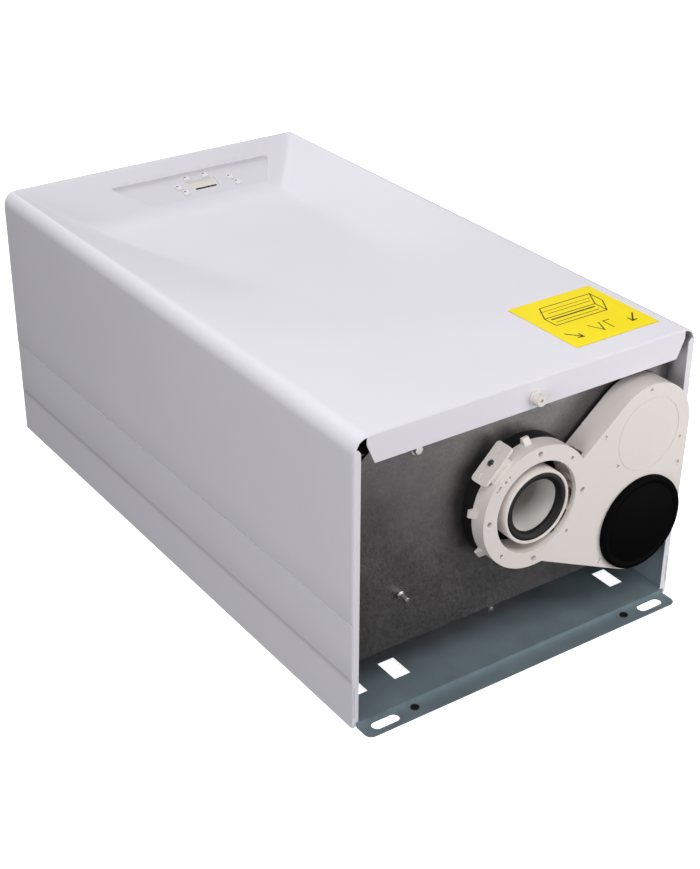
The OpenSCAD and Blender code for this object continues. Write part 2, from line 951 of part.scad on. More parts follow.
module drain_hose() {
    color("dimgray")
        placed()
            run([[0, 386, drain_z], [0, 412, drain_z], [trap_x, 440, trap_in_z],
                 [trap_x, 478, trap_in_z]], drain_r);
}

module return_pipe() {
    color("peru")
        placed()
            run([[-header_x, 392, return_z], [-header_x, 505, return_z], [pump_x, 570, 140],
                 [pump_x, 595, pipe_z], [pump_x, 617, pipe_z]], 8, 1.5, 0);
}

module flow_pipe() {
    color("peru")
        placed()
            run([[header_x, 392, flow_z], [header_x, 500, flow_z], [block_x - 12, 560, 90],
                 [block_x, 580, pipe_z], [block_x, 600, pipe_z]], 8);
}

module pump_housing() {
    color("dimgray")
        placed()
            difference() {
                union() {
                    bar_z(pump_x, pump_y, 33, 50, pump_top);
                    bar_y(pump_x, pipe_z, 12, pump_y + 20, body_l + 1);
                    bar_y(pump_x, pipe_z, r34, body_l, stub_end);
                    bar_z(pump_x - 42, pump_y + 28, 9, 56, 120);
                    box([pump_x - 42, pump_y + 16, 60], [pump_x - 10, pump_y + 30, 80]);
                }
                bar_z(pump_x, pump_y, 29, 54, pump_top + 1);
                bar_y(pump_x, pipe_z, 8.5, pump_y + 10, stub_end + 1);
            }
}

module pump_motor() {
    color("black")
        placed()
            difference() {
                union() {
                    bar_z(pump_x, pump_y, 38, pump_top, pump_top + 12);
                    bar_z(pump_x, pump_y, 34, pump_top + 12, pump_top + 74);
                    box([pump_x - 22, pump_y - 44, pump_top + 20],
                        [pump_x + 22, pump_y - 20, pump_top + 60]);
                }
                bar_z(pump_x, pump_y, 4.05, pump_top - 1, pump_top + 40);
            }
}

module pump_impeller() {
    color("gainsboro")
        placed()
            translate([pump_x, pump_y, 0]) {
                cylinder_at(25, 58, 60.5);
                cylinder_at(10, 58, 78);
                for (a = [0 : 60 : 300])
                    rotate([0, 0, a]) box([8, -1, 60.5], [24, 1, 74]);
                cylinder_at(4, 60, pump_top + 30);
            }
}

module flow_block() {
    color("dimgray")
        placed()
            difference() {
                union() {
                    box([block_x - 21, 600, 51], [block_x + 21, 704, 93]);
                    bar_y(block_x, pipe_z, 12, 704, body_l + 1);
                    bar_y(block_x, pipe_z, r34, body_l, stub_end);
                    bar_z(block_x, relief_y, 11, 93, 112);
                    bar_z(block_x, relief_y, 5, 93, 122);
                }
                bar_y(block_x, pipe_z, 8.5, 640, stub_end + 1);
                bar_z(block_x, diverter_y, 3.05, 60, 94);
            }
}

// Motor head of the three-way valve, clipped on the flow block
module diverter_valve() {
    color("black")
        placed()
            difference() {
                union() {
                    bar_z(block_x, diverter_y, 16, 93, 104);
                    box([block_x - 20, 604, 104], [block_x + 20, 656, 160]);
                }
                bar_z(block_x, diverter_y, 3.05, 92, 122);
            }
}

// Spindle that the motor head pushes to turn the water from heating to taps
module diverter_stem() {
    color("silver")
        placed()
            bar_z(block_x, diverter_y, 3, 66, 116);
}

module relief_valve_knob() {
    color("red")
        placed()
            translate([block_x, relief_y, 0])
                difference() {
                    union() {
                        cylinder_at(13, 112.3, 126);
                        for (a = [0 : 60 : 300])
                            rotate([0, 0, a]) translate([13, 0, 0]) cylinder_at(2.4, 112.3, 126);
                    }
                    cylinder_at(5.06, 112, 122.3);
                }
}

// Brazed stack of pressed plates between two end plates
module plate_heat_exchanger() {
    color("silver")
        placed() {
            for (i = [0 : 11])
                translate([12, 662, 100 + 3.6 * i])
                    linear_extrude(2.4) rounded(174, 74, 12);
            translate([12, 662, 100]) linear_extrude(3.6 * 11 + 2.4) rounded(170, 70, 10);
            for (x = [-pipe_pitch, pipe_pitch])
                bar_z(x, 650, 9, 82.4, 100);
        }
}

module water_pipes() {
    color("peru")
        placed()
            for (x = [-pipe_pitch, pipe_pitch])
                difference() {
                    union() {
                        bar_y(x, pipe_z, 9, 640, body_l + 1);
                        bar_y(x, pipe_z, r12, body_l, stub_end);
                        bar_z(x, 650, 9, pipe_z, 82.4);
                    }
                    bar_y(x, pipe_z, 7, body_l - 10, stub_end + 1);
                }
}

// Closed box for the main board, with cable glands
module electronics_box() {
    color("dimgray")
        placed() {
            difference() {
                box([-160, 506, 208], [160, 652, 258]);
                box([-157, 509, 211], [157, 649, 255]);
            }
            box([-162, 504, 258], [162, 654, 262]);
            for (x = [-120, -40, 40, 120])
                bar_y(x, 225, 7, 652, 664);
        }
}

front_casing();
casing_peg();
instruction_label();
control_fascia();
display_window();
display_module();
control_board();
control_housing();
button(0);  // button_menu
button(1);  // button_reset
button(2);  // button_heat_up
button(3);  // button_water_up
button(4);  // button_heat_down
button(5);  // button_water_down
rear_frame();
bottom_bracket();
chamber_top_panel();
chamber_body();
chamber_cover();
chamber_seal();
screws();
panel_pin();
flue_manifold();
flue_gasket();
manifold_gasket();
air_intake_cap();
flue_socket();
flue_seal();
flue_duct();
test_point_cover();
exchanger_shell();
exchanger_coil();
exchanger_door();
door_insulation();
burner();
ignition_electrode();
fan_housing();
fan_impeller();
fan_motor();
air_gas_duct();
gas_mixer();
gas_valve();
air_silencer();
gas_pipe();
expansion_vessel();
vessel_hose();
condensate_trap();
drain_hose();
return_pipe();
flow_pipe();
pump_housing();
pump_motor();
pump_impeller();
flow_block();
diverter_valve();
diverter_stem();
relief_valve_knob();
plate_heat_exchanger();
water_pipes();
electronics_box();
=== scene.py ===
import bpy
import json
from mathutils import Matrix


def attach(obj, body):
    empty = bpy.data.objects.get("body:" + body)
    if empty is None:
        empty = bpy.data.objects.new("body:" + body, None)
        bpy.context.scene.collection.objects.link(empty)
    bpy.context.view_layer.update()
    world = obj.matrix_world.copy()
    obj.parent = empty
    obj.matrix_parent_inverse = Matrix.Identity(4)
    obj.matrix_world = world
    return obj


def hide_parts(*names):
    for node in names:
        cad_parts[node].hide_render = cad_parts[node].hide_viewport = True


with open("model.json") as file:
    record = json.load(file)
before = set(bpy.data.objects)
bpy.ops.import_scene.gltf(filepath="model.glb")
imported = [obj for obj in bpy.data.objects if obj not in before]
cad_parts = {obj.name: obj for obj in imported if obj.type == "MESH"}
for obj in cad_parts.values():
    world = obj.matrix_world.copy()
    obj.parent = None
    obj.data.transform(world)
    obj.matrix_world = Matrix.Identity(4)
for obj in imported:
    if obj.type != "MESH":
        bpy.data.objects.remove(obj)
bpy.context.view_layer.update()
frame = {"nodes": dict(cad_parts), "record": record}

import json
import math

import bmesh
import bpy
import numpy as np
from mathutils import Matrix, Vector

# ---------------------------------------------------------------- sizes, in mm
# x is across, y runs from the flue end (0) to the pipe end, z is up from the wall.
BODY_W, BODY_L, BODY_D = 420.0, 736.0, 322.0
HALF = BODY_W / 2
EDGE_R = 18.0
RIM = 200.0
DISH_START, DISH_DEEP_Y, DISH_DEPTH = 160.0, 647.0, 41.5
SLOPE = math.radians(25)
FOOT_NEAR, FOOT_FAR = 59.0, 134.0
SHEET = 1.2
FLUE_Z = 187.0
SCENE = bpy.context.scene


def P(x, y, z):
    """Millimetres from the flue end to metres in the shared frame."""
    return Vector((x / 1000, (y - BODY_L / 2) / 1000, z / 1000))


def link(name, mesh, mat=None):
    """Puts a mesh in the scene as an object with one material."""
    ob = bpy.data.objects.new(name, mesh)
    SCENE.collection.objects.link(ob)
    if mat is not None:
        ob.data.materials.append(mat)
    return ob


def mesh_of(name, verts, faces, mat=None, sharp=40):
    """A welded mesh, smooth except across edges sharper than the angle."""
    me = bpy.data.meshes.new(name)
    me.from_pydata([tuple(v) for v in verts], [], faces)
    me.validate()
    bm = bmesh.new()
    bm.from_mesh(me)
    bmesh.ops.remove_doubles(bm, verts=bm.verts, dist=2e-6)
    bmesh.ops.recalc_face_normals(bm, faces=bm.faces)
    bm.to_mesh(me)
    bm.free()
    ob = link(name, me, mat)
    shade(ob, sharp)
    return ob


def prism(name, low, high, mat=None, sharp=40):
    """A solid between two outlines with the same number of points."""
    n = len(low)
    faces = [tuple(range(n)), tuple(range(n, 2 * n))]
    faces += [(i, (i + 1) % n, n + (i + 1) % n, n + i) for i in range(n)]
    return mesh_of(name, low + high, faces, mat, sharp)


def shade(ob, sharp):
    """Smooth shading, except across edges sharper than the angle."""
    me = ob.data
    me.polygons.foreach_set("use_smooth", [True] * len(me.polygons))
    me.set_sharp_from_angle(angle=math.radians(sharp))
    me.update()


def piece(ob, body, slot, *nodes):
    """Says what a piece rides on and which CAD nodes it replaces; the slot it is made of is not used."""
    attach(ob, body)
    if nodes:
        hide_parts(*nodes)


def apply_modifiers(ob):
    """Gives an object the mesh that its modifiers make."""
    deps = bpy.context.evaluated_depsgraph_get()
    me = bpy.data.meshes.new_from_object(ob.evaluated_get(deps))
    old = ob.data
    ob.modifiers.clear()
    ob.data = me
    bpy.data.meshes.remove(old)
    return ob


def boolean(ob, cutter):
    """Cuts one shape out of another and deletes the cutter."""
    m = ob.modifiers.new("cut", "BOOLEAN")
    m.operation, m.solver, m.object = "DIFFERENCE", "EXACT", cutter
    apply_modifiers(ob)
    bpy.data.objects.remove(cutter)


def bevel(ob, width_mm, segments=2, angle=35):
    """Rounds every edge sharper than the angle."""
    bm = bmesh.new()
    bm.from_mesh(ob.data)
    bmesh.ops.remove_doubles(bm, verts=bm.verts, dist=2e-6)
    bmesh.ops.dissolve_limit(bm, angle_limit=math.radians(0.4), verts=bm.verts, edges=bm.edges)
    edges = [e for e in bm.edges
             if len(e.link_faces) == 2 and e.calc_face_angle(0) > math.radians(angle)]
    bmesh.ops.bevel(bm, geom=edges, offset=width_mm / 1000, offset_type="OFFSET",
                    segments=segments, profile=0.5, affect="EDGES", clamp_overlap=True)
    bm.to_mesh(ob.data)
    bm.free()
    shade(ob, 50)
    m = ob.modifiers.new("flat", "WEIGHTED_NORMAL")
    m.keep_sharp, m.weight = True, 100
    return apply_modifiers(ob)


# ---------------------------------------------------------------- materials
def nodes_of(name):
    """A new material, with its node tree, shader and texture coordinates."""
    mat = bpy.data.materials.new(name)
    mat.use_nodes = True
    nt = mat.node_tree
    bsdf = nt.nodes["Principled BSDF"]
    coord = nt.nodes.new("ShaderNodeTexCoord")
    return mat, nt, bsdf, coord


def noise(nt, coord, scale, detail=4, rough=0.55, stretch=None):
    """Noise in the object's own space, with its axes scaled where it is stretched."""
    n = nt.nodes.new("ShaderNodeTexNoise")
    n.inputs["Scale"].default_value = scale
    n.inputs["Detail"].default_value = detail
    n.inputs["Roughness"].default_value = rough
    if stretch:
        m = nt.nodes.new("ShaderNodeMapping")
        m.inputs["Scale"].default_value = stretch
        nt.links.new(coord.outputs["Object"], m.inputs["Vector"])
        nt.links.new(m.outputs["Vector"], n.inputs["Vector"])
    else:
        nt.links.new(coord.outputs["Object"], n.inputs["Vector"])
    return n


def ramp(nt, source, stops):
    """Colours chosen by a value, from stops of (position, colour)."""
    r = nt.nodes.new("ShaderNodeValToRGB")
    el = r.color_ramp.elements
    while len(el) < len(stops):
        el.new(0.5)
    for e, (pos, col) in zip(el, stops):
        e.position = pos
        e.color = (*col, 1)
    nt.links.new(source, r.inputs["Fac"])
    return r


def spread(nt, source, low, high):
    """The middle half of a noise, stretched between two values."""
    m = nt.nodes.new("ShaderNodeMapRange")
    m.inputs["From Min"].default_value = 0.25
    m.inputs["From Max"].default_value = 0.75
    m.inputs["To Min"].default_value = low
    m.inputs["To Max"].default_value = high
    nt.links.new(source, m.inputs["Value"])
    return m.outputs["Result"]


def bump(nt, bsdf, source, strength, distance):
    """Fine relief on a surface, from a noise."""
    b = nt.nodes.new("ShaderNodeBump")
    b.inputs["Strength"].default_value = strength
    b.inputs["Distance"].default_value = distance
    nt.links.new(source, b.inputs["Height"])
    nt.links.new(b.outputs["Normal"], bsdf.inputs["Normal"])


def tone(c, k):
    """A colour made lighter or darker by a factor."""
    return tuple(min(1.0, v * k) for v in c)


def material(name, color, rough, metal=0.0, vary=0.05, patch=9, grain=700, grain_k=0.15,
             depth=0.0001, rough_vary=0.06, coat=0.0, stretch=None, specular=0.5):
    """A moulded, painted or drawn surface: patchy colour and roughness, and a fine grain."""
    mat, nt, bsdf, coord = nodes_of(name)
    big = noise(nt, coord, patch, 5)
    col = ramp(nt, big.outputs["Fac"], [(0.3, tone(color, 1 - vary)), (0.7, tone(color, 1 + vary))])
    nt.links.new(col.outputs["Color"], bsdf.inputs["Base Color"])
    fine = noise(nt, coord, grain, 3, 0.6, stretch)
    nt.links.new(spread(nt, big.outputs["Fac"], rough - rough_vary, rough + rough_vary),
                 bsdf.inputs["Roughness"])
    bump(nt, bsdf, fine.outputs["Fac"], grain_k, depth)
    bsdf.inputs["Metallic"].default_value = metal
    bsdf.inputs["Specular IOR Level"].default_value = specular
    bsdf.inputs["Coat Weight"].default_value = coat
    bsdf.inputs["Coat Roughness"].default_value = 0.15
    return mat


def spangled(name, dark, light, rough):
    """Hot-dip zinc: flat crystals a few millimetres across, each its own grey."""
    mat, nt, bsdf, coord = nodes_of(name)
    cells = nt.nodes.new("ShaderNodeTexVoronoi")
    cells.inputs["Scale"].default_value = 520
    nt.links.new(coord.outputs["Object"], cells.inputs["Vector"])
    split = nt.nodes.new("ShaderNodeSeparateColor")
    nt.links.new(cells.outputs["Color"], split.inputs["Color"])
    wide = noise(nt, coord, 14, 7, 0.62)
    mix = nt.nodes.new("ShaderNodeMath")
    mix.operation = "MULTIPLY_ADD"
    mix.inputs[1].default_value = 0.16
    nt.links.new(split.outputs["Red"], mix.inputs[0])
    nt.links.new(wide.outputs["Fac"], mix.inputs[2])
    col = ramp(nt, mix.outputs["Value"], [(0.3, dark), (1.0, light)])
    nt.links.new(col.outputs["Color"], bsdf.inputs["Base Color"])
    nt.links.new(spread(nt, split.outputs["Green"], rough - 0.05, rough + 0.09),
                 bsdf.inputs["Roughness"])
    fine = noise(nt, coord, 1500, 2)
    bump(nt, bsdf, fine.outputs["Fac"], 0.12, 0.00008)
    bsdf.inputs["Metallic"].default_value = 0.85
    return mat


MAT = {
    "casing_white": material("casing_enamel", (0.76, 0.745, 0.80), 0.56, vary=0.012, grain=330,
                             grain_k=0.10, depth=0.00012, rough_vary=0.03, specular=0.25),
    "white_plastic": material("white_moulding", (0.74, 0.685, 0.655), 0.45, vary=0.02, grain=1100,
                              grain_k=0.16, rough_vary=0.05),
    "fascia_white": material("fascia_moulding", (0.74, 0.725, 0.78), 0.55, vary=0.012, grain=1100,
                             grain_k=0.12, rough_vary=0.04, specular=0.3),
    "button_white": material("button_moulding", (0.86, 0.86, 0.86), 0.38, vary=0.015, grain=1500),
    "label_yellow": material("label_film", (1.0, 0.80, 0.003), 0.45, vary=0.02, grain=260,
                             grain_k=0.05, coat=0.1),
    "window_cream": material("window_film", (0.86, 0.83, 0.77), 0.3, vary=0.04, coat=0.5),
    "display_dark": material("display_glass", (0.010, 0.010, 0.012), 0.25, vary=0.1, coat=0.4),
    "board_green": material("board_mask", (0.02, 0.14, 0.05), 0.35, vary=0.2, grain=350, grain_k=0.3),
    "grey_plastic": material("grey_moulding", (0.16, 0.165, 0.17), 0.5, vary=0.05, grain=1200),
    "frame_steel": material("frame_coating", (0.20, 0.26, 0.29), 0.42, metal=0.3, vary=0.10,
                            patch=30, grain=900, grain_k=0.1, rough_vary=0.08),
    "galvanised": spangled("galvanised_sheet", (0.085, 0.082, 0.083), (0.20, 0.19, 0.19), 0.40),
    "zinc_screw": material("zinc_plate", (0.62, 0.62, 0.60), 0.28, metal=1.0, vary=0.08, patch=60,
                           grain=2500),
    "seal_rubber": material("seal_rubber", (0.006, 0.006, 0.0065), 0.55, vary=0.2, grain=900,
                            grain_k=0.2, specular=0.3),
    "black_plastic": material("black_moulding", (0.0015, 0.0015, 0.0018), 0.6, vary=0.2, grain=1300,
                              grain_k=0.2, specular=0.03),
    "cast_aluminium": material("cast_aluminium", (0.50, 0.50, 0.51), 0.42, metal=0.9, vary=0.09,
                               patch=40, grain=420, grain_k=0.5, depth=0.0003),
    "stainless": material("drawn_stainless", (0.56, 0.56, 0.57), 0.26, metal=1.0, vary=0.06,
                          grain=300, grain_k=0.2, stretch=(1, 1, 12)),
    "fibre": material("pressed_fibre", (0.74, 0.71, 0.64), 0.95, vary=0.06, grain=500, grain_k=0.8,
                      depth=0.0008),
    "ceramic": material("glazed_ceramic", (0.83, 0.82, 0.78), 0.15, vary=0.02, coat=0.4),
    "duct_plastic": material("duct_moulding", (0.72, 0.70, 0.67), 0.4, vary=0.03, grain=900),
    "hose_grey": material("hose_rubber", (0.06, 0.06, 0.065), 0.6, vary=0.1, grain=260,
                          grain_k=0.6, depth=0.0006, stretch=(1, 6, 1)),
    "gas_yellow": material("gas_pipe_paint", (0.66, 0.45, 0.04), 0.35, vary=0.05, coat=0.2),
    "copper": material("copper_tube", (0.78, 0.36, 0.22), 0.30, metal=1.0, vary=0.14, patch=25,
                       grain=400),
    "vessel_red": material("vessel_paint", (0.44, 0.02, 0.015), 0.28, vary=0.06, coat=0.4),
    "motor_black": material("motor_casting", (0.012, 0.012, 0.013), 0.45, metal=0.3, vary=0.15,
                            grain=500, grain_k=0.5, depth=0.0003),
    "pump_dark": material("glass_filled_nylon", (0.035, 0.035, 0.038), 0.5, vary=0.12, grain=1000,
                          grain_k=0.4),
    "knob_red": material("knob_moulding", (0.50, 0.012, 0.01), 0.38, vary=0.04, grain=1400),
}
INK = material("label_ink", (0.06, 0.045, 0.01), 0.5, vary=0.1)
MARK = material("button_ink", (0.03, 0.03, 0.035), 0.5, vary=0.1)
FRAME_NODES = frame["nodes"]
SLOT_OF = {s["node"]: s["material_slot"] for s in frame["record"]["subparts"]}
for node, ob in FRAME_NODES.items():
    for s in ob.material_slots:
        s.material = MAT[SLOT_OF[node]]


# ---------------------------------------------------------------- shapes from CAD nodes
def body_of_node(node):
    for body, members in frame["record"]["behaviour"]["bodies"].items():
        if node in members:
            return body


def softened(node, width_mm):
    """A copy of a CAD node with its hard edges rounded."""
    src = FRAME_NODES[node].data
    verts = [v.co.copy() for v in src.vertices]
    faces = [tuple(p.vertices) for p in src.polygons]
    ob = mesh_of("fine_" + node, verts, faces, MAT[SLOT_OF[node]])
    bevel(ob, width_mm)
    piece(ob, body_of_node(node), SLOT_OF[node], node)


def lathe(name, profile, cx, cz, mat, steps=96):
    """A closed profile of (y, radius) turned about a line along Y."""
    n = len(profile)
    verts, faces = [], []
    for i in range(steps):
        a = 2 * math.pi * i / steps
        for y, r in profile:
            verts.append(P(cx + r * math.cos(a), y, cz + r * math.sin(a)))
    for i in range(steps):
        j = (i + 1) % steps
        for k in range(n):
            m = (k + 1) % n
            faces.append((i * n + k, i * n + m, j * n + m, j * n + k))
    return mesh_of(name, verts, faces, mat)


# ---------------------------------------------------------------- front casing
def smooth_min(a, b, k):
    """The smaller value, with a soft blend where the two differ by less than k."""
    h = np.maximum(k - np.abs(a - b), 0) / k
    return np.minimum(a, b) - h * h * k / 4


def smooth_max(a, b, k):
    return -smooth_min(-a, -b, k)


def foot_at(y):
    """Half the width of the dish's floor at station y."""
    s = np.clip((y - DISH_START) / (DISH_DEEP_Y - DISH_START), 0, 2)
    return smooth_min(FOOT_NEAR + (FOOT_FAR - FOOT_NEAR) * s, FOOT_FAR, 14)


def front_depth(x, y):
    """How far the front surface lies under the plane of the front."""
    ax = np.abs(x)
    fall = (y - DISH_START) * DISH_DEPTH / (DISH_DEEP_Y - DISH_START)
    floor = smooth_min(smooth_max(fall, 0, 8), DISH_DEPTH, 8)
    wall = (RIM - ax) * floor / (RIM - foot_at(y))
    end = (BODY_L - y) * math.tan(SLOPE)
    dish = smooth_min(smooth_min(floor, end, 8), wall, 3.5)
    out = np.clip(ax - (HALF - EDGE_R), 0, EDGE_R)
    edge = EDGE_R - np.sqrt(EDGE_R ** 2 - out ** 2)
    return smooth_max(dish, edge, 2.2)


# Across the front: the farthest crease, the end of the wall's points and the start of the edge
CREASE_LIMIT, WALL_X, EDGE_X = 184.0, 188, 205


def crease_at(y):
    """Where the side wall of the dish meets its floor or its end slope."""
    wall_rate = DISH_DEPTH / (RIM - FOOT_FAR)
    if y <= DISH_DEEP_Y:
        return float(foot_at(y))
    return min(CREASE_LIMIT, RIM - (BODY_L - y) * math.tan(SLOPE) / wall_rate)


SIDE_PROFILE = [(210, 300), (210, 270), (210, 230), (210, 190), (210, 150), (210, 123.4),
                (209.9, 122.8), (208.9, 122.5), (208.9, 121.6), (209.7, 121.2), (209.75, 115),
                (209.75, 85), (209.75, 58.6), (209.6, 57.9), (208.95, 57.1), (208.9, 50),
                (208.9, 25), (208.9, 0)]


def half_section(y):
    """Points of the right half at station y, from the middle of the front down the side."""
    c = crease_at(y)
    k = min(1.0, (WALL_X - c) / 14)
    xs = list(np.linspace(0, c - 9, 12))
    xs += [c + d for d in (-6, -4, -2.6, -1.5, -0.7, 0)]
    xs += [c + d * k for d in (0.7, 1.5, 2.6, 4, 6, 9)]
    xs += list(np.linspace(c + 9 * k, WALL_X, 6)[1:])
    xs += [190] + list(np.linspace(191.5, EDGE_X, 10))
    xs = np.array(xs)
    zs = BODY_D - front_depth(xs, np.full_like(xs, y))
    pts = [(x, z, 0.0, 1.0) for x, z in zip(xs, zs)]
    start = math.asin((EDGE_X - (HALF - EDGE_R)) / EDGE_R)
    for t in np.linspace(start, math.pi / 2, 9)[1:]:
        pts.append((HALF - EDGE_R + EDGE_R * math.sin(t), BODY_D - EDGE_R + EDGE_R * math.cos(t),
                    math.sin(t), math.cos(t)))
    pts += [(x, z, 1.0, 0.0) for x, z in SIDE_PROFILE]
    return pts


def casing_rows():
    """Stations along Y, each with how far the fold has pulled the surface in."""
    fold = 2.4
    near = [(fold - fold * math.sin(t), fold - fold * math.cos(t))
            for t in np.linspace(math.pi / 2, 0, 6)]
    body = list(np.linspace(8, 150, 12)) + list(np.linspace(156, 186, 7))
    body += list(np.linspace(200, 620, 31)) + list(np.linspace(626, 668, 19))
    body += list(np.linspace(674, 728, 14))
    far = [(BODY_L - y, e) for y, e in reversed(near)]
    return near + [(y, 0.0) for y in body] + far


def casing_shell():
    """The casing's skin, one section for each station, thickened inwards."""
    rows = casing_rows()
    verts, count = [], None
    for y, e in rows:
        half = half_section(min(max(y, 0), BODY_L))
        line = [(x - e * nx, z - e * nz) for x, z, nx, nz in half]
        full = [(-x, z) for x, z in reversed(line[1:])] + line
        count = len(full)
        verts += [P(x, y, z) for x, z in full]
    faces = [(r * count + c, r * count + c + 1, (r + 1) * count + c + 1, (r + 1) * count + c)
             for r in range(len(rows) - 1) for c in range(count - 1)]
    ob = mesh_of("casing_skin", verts, faces, MAT["casing_white"], sharp=60)
    bm = bmesh.new()
    bm.from_mesh(ob.data)
    top = max(bm.faces, key=lambda f: f.calc_center_median().z)
    if top.normal.z < 0:
        bmesh.ops.reverse_faces(bm, faces=bm.faces)
    bm.to_mesh(ob.data)
    bm.free()
    m = ob.modifiers.new("thick", "SOLIDIFY")
    m.thickness, m.offset, m.use_even_offset = SHEET / 1000, -1, False
    return apply_modifiers(ob)


def slope_point(x, down, out):
    """A point given on the dish's end slope: across, down the slope, and out of it."""
    return P(x, BODY_L - down * math.cos(SLOPE) - out * math.sin(SLOPE),
             BODY_D - down * math.sin(SLOPE) + out * math.cos(SLOPE))


FASCIA_CORNERS = [(-76, 34.5, 3), (137, 37.5, 6), (116, 69, 9), (-39, 64, 14)]


def fascia_loop(g, step=5):
    """Outline of the control panel grown by g, as the same run of points for any g."""
    pts = []
    last = None
    for i in range(0, 360, step):
        a = math.radians(i)
        c = max(FASCIA_CORNERS, key=lambda c: c[0] * math.cos(a) + c[1] * math.sin(a) + c[2])
        if last is not None and last is not c:
            pts.append((last[0] + (last[2] + g) * math.cos(a), last[1] + (last[2] + g) * math.sin(a)))
        pts.append((c[0] + (c[2] + g) * math.cos(a), c[1] + (c[2] + g) * math.sin(a)))
        last = c
    return pts


def slope_prism(name, loop, out0, out1, mat=None):
    """An outline on the end slope, raised between two heights."""
    return prism(name, [slope_point(x, w, out0) for x, w in loop],
                 [slope_point(x, w, out1) for x, w in loop], mat)


def slope_ring(name, rows, mat):
    """A closed ring round the control panel from rows of (growth, height)."""
    loops = [[slope_point(x, w, h) for x, w in fascia_loop(g)] for g, h in rows]
    n, m = len(loops[0]), len(loops)
    verts = [v for lp in loops for v in lp]
    faces = [(r * n + i, r * n + (i + 1) % n, ((r + 1) % m) * n + (i + 1) % n, ((r + 1) % m) * n + i)
             for r in range(m) for i in range(n)]
    return mesh_of(name, verts, faces, mat, sharp=70)


def plate_y(name, outline, y0, y1, mat=None):
    """An outline in x and z, extruded between two stations along the casing."""
    return prism(name, [P(x, y0, z) for x, z in outline], [P(x, y1, z) for x, z in outline], mat)


def capsule(cx, cz, w, h, steps=8):
    """Outline of an upright slot."""
    r = w / 2
    top = [(cx + r * math.cos(t), cz + h / 2 - r + r * math.sin(t))
           for t in np.linspace(0, math.pi, steps)]
    low = [(cx + r * math.cos(t), cz - h / 2 + r + r * math.sin(t))
           for t in np.linspace(math.pi, 2 * math.pi, steps)]
    return top + low


def join(objects, name):
    """One object with the meshes of several, in the first one's material."""
    bm = bmesh.new()
    for o in objects:
        bm.from_mesh(o.data)
    me = bpy.data.meshes.new(name)
    bm.to_mesh(me)
    bm.free()
    mat = objects[0].data.materials[0]
    for o in objects:
        bpy.data.objects.remove(o)
    return link(name, me, mat)


def lip(y0):
    """The sheet folded down from the front at one end."""
    top, low = BODY_D - 1.6, BODY_D - 31.5
    x0, x1 = 195.0, 186.0
    edge = [(-x1, low), (x1, low), (x0 - 0.6, low + 19), (x0, low + 21), (x0, top - 0.6),
            (-x0, top - 0.6), (-x0, low + 21), (-x0 + 0.6, low + 19)]
    ob = plate_y("lip_%d" % y0, edge, y0, y0 + SHEET, MAT["casing_white"])
    return bevel(ob, 0.35)


def side_return(y0, s):
    """The sheet folded in from one side at one end, with its slot."""
    lo, hi = 201.3, 209.0
    out = [(s * lo, 1.5), (s * hi, 0.4), (s * hi, 309), (s * (lo + 3), 309), (s * lo, 305)]
    ob = plate_y("return_%d_%d" % (y0, s), out, y0, y0 + SHEET, MAT["casing_white"])
    boolean(ob, plate_y("slot", capsule(s * 207.2, 30, 2.4, 38), y0 - 2, y0 + 4))
    return bevel(ob, 0.3)


shell = casing_shell()
boolean(shell, slope_prism("opening", fascia_loop(0.8), -8, 8))
parts = [shell]
for y0 in (0.0, BODY_L - SHEET):
    parts.append(lip(y0))
    parts += [side_return(y0, -1), side_return(y0, 1)]
shade(shell, 60)
casing = join(parts, "casing_cover")
piece(casing, "casing", "casing_white", "front_casing")

roll = slope_ring("casing_opening_roll", [
    (4.6, 0.10), (3.0, 0.10), (1.9, -0.05), (1.1, -0.45), (0.5, -1.05), (0.15, -1.8), (0.0, -2.7),
    (0.9, -2.7), (1.2, -1.9), (2.0, -1.3), (4.6, -1.0)], MAT["casing_white"])
piece(roll, "casing", "casing_white")

# ---------------------------------------------------------------- control panel
FACE = -3.2
PANEL_T = 2.4
WINDOW = (38, 55, 40, 17)
BUTTON, BUTTON_HOLE, BUTTON_FLANGE = 8.5, 9.1, 10.5
SPOTS = {"menu": (21.5, 40.5), "reset": (47.5, 40.5), "heat_up": (4, 53), "water_up": (78, 53),
         "heat_down": (9.5, 64), "water_down": (83.5, 64)}


def rect(cx, cy, w, h, r, steps=5):
    """Outline of a rectangle with rounded corners."""
    pts = []
    for sx, sy, a0 in ((1, 1, 0), (-1, 1, 90), (-1, -1, 180), (1, -1, 270)):
        for k in range(steps + 1):
            a = math.radians(a0 + 90 * k / steps)
            pts.append((cx + sx * (w / 2 - r) + r * math.cos(a), cy + sy * (h / 2 - r) + r * math.sin(a)))
    return pts


panel = slope_prism("control_panel", fascia_loop(3), FACE - PANEL_T, FACE, MAT["fascia_white"])
cuts = [slope_prism("w", rect(*WINDOW, r=1.5), FACE - 6, FACE + 6)]
cuts += [slope_prism("b", rect(x, w, BUTTON_HOLE, BUTTON_HOLE, r=1.0), FACE - 6, FACE + 6)
         for x, w in SPOTS.values()]
for c in cuts:
    boolean(panel, c)
bevel(panel, 0.25, 2, 40)
piece(panel, "appliance", "fascia_white", "control_fascia")

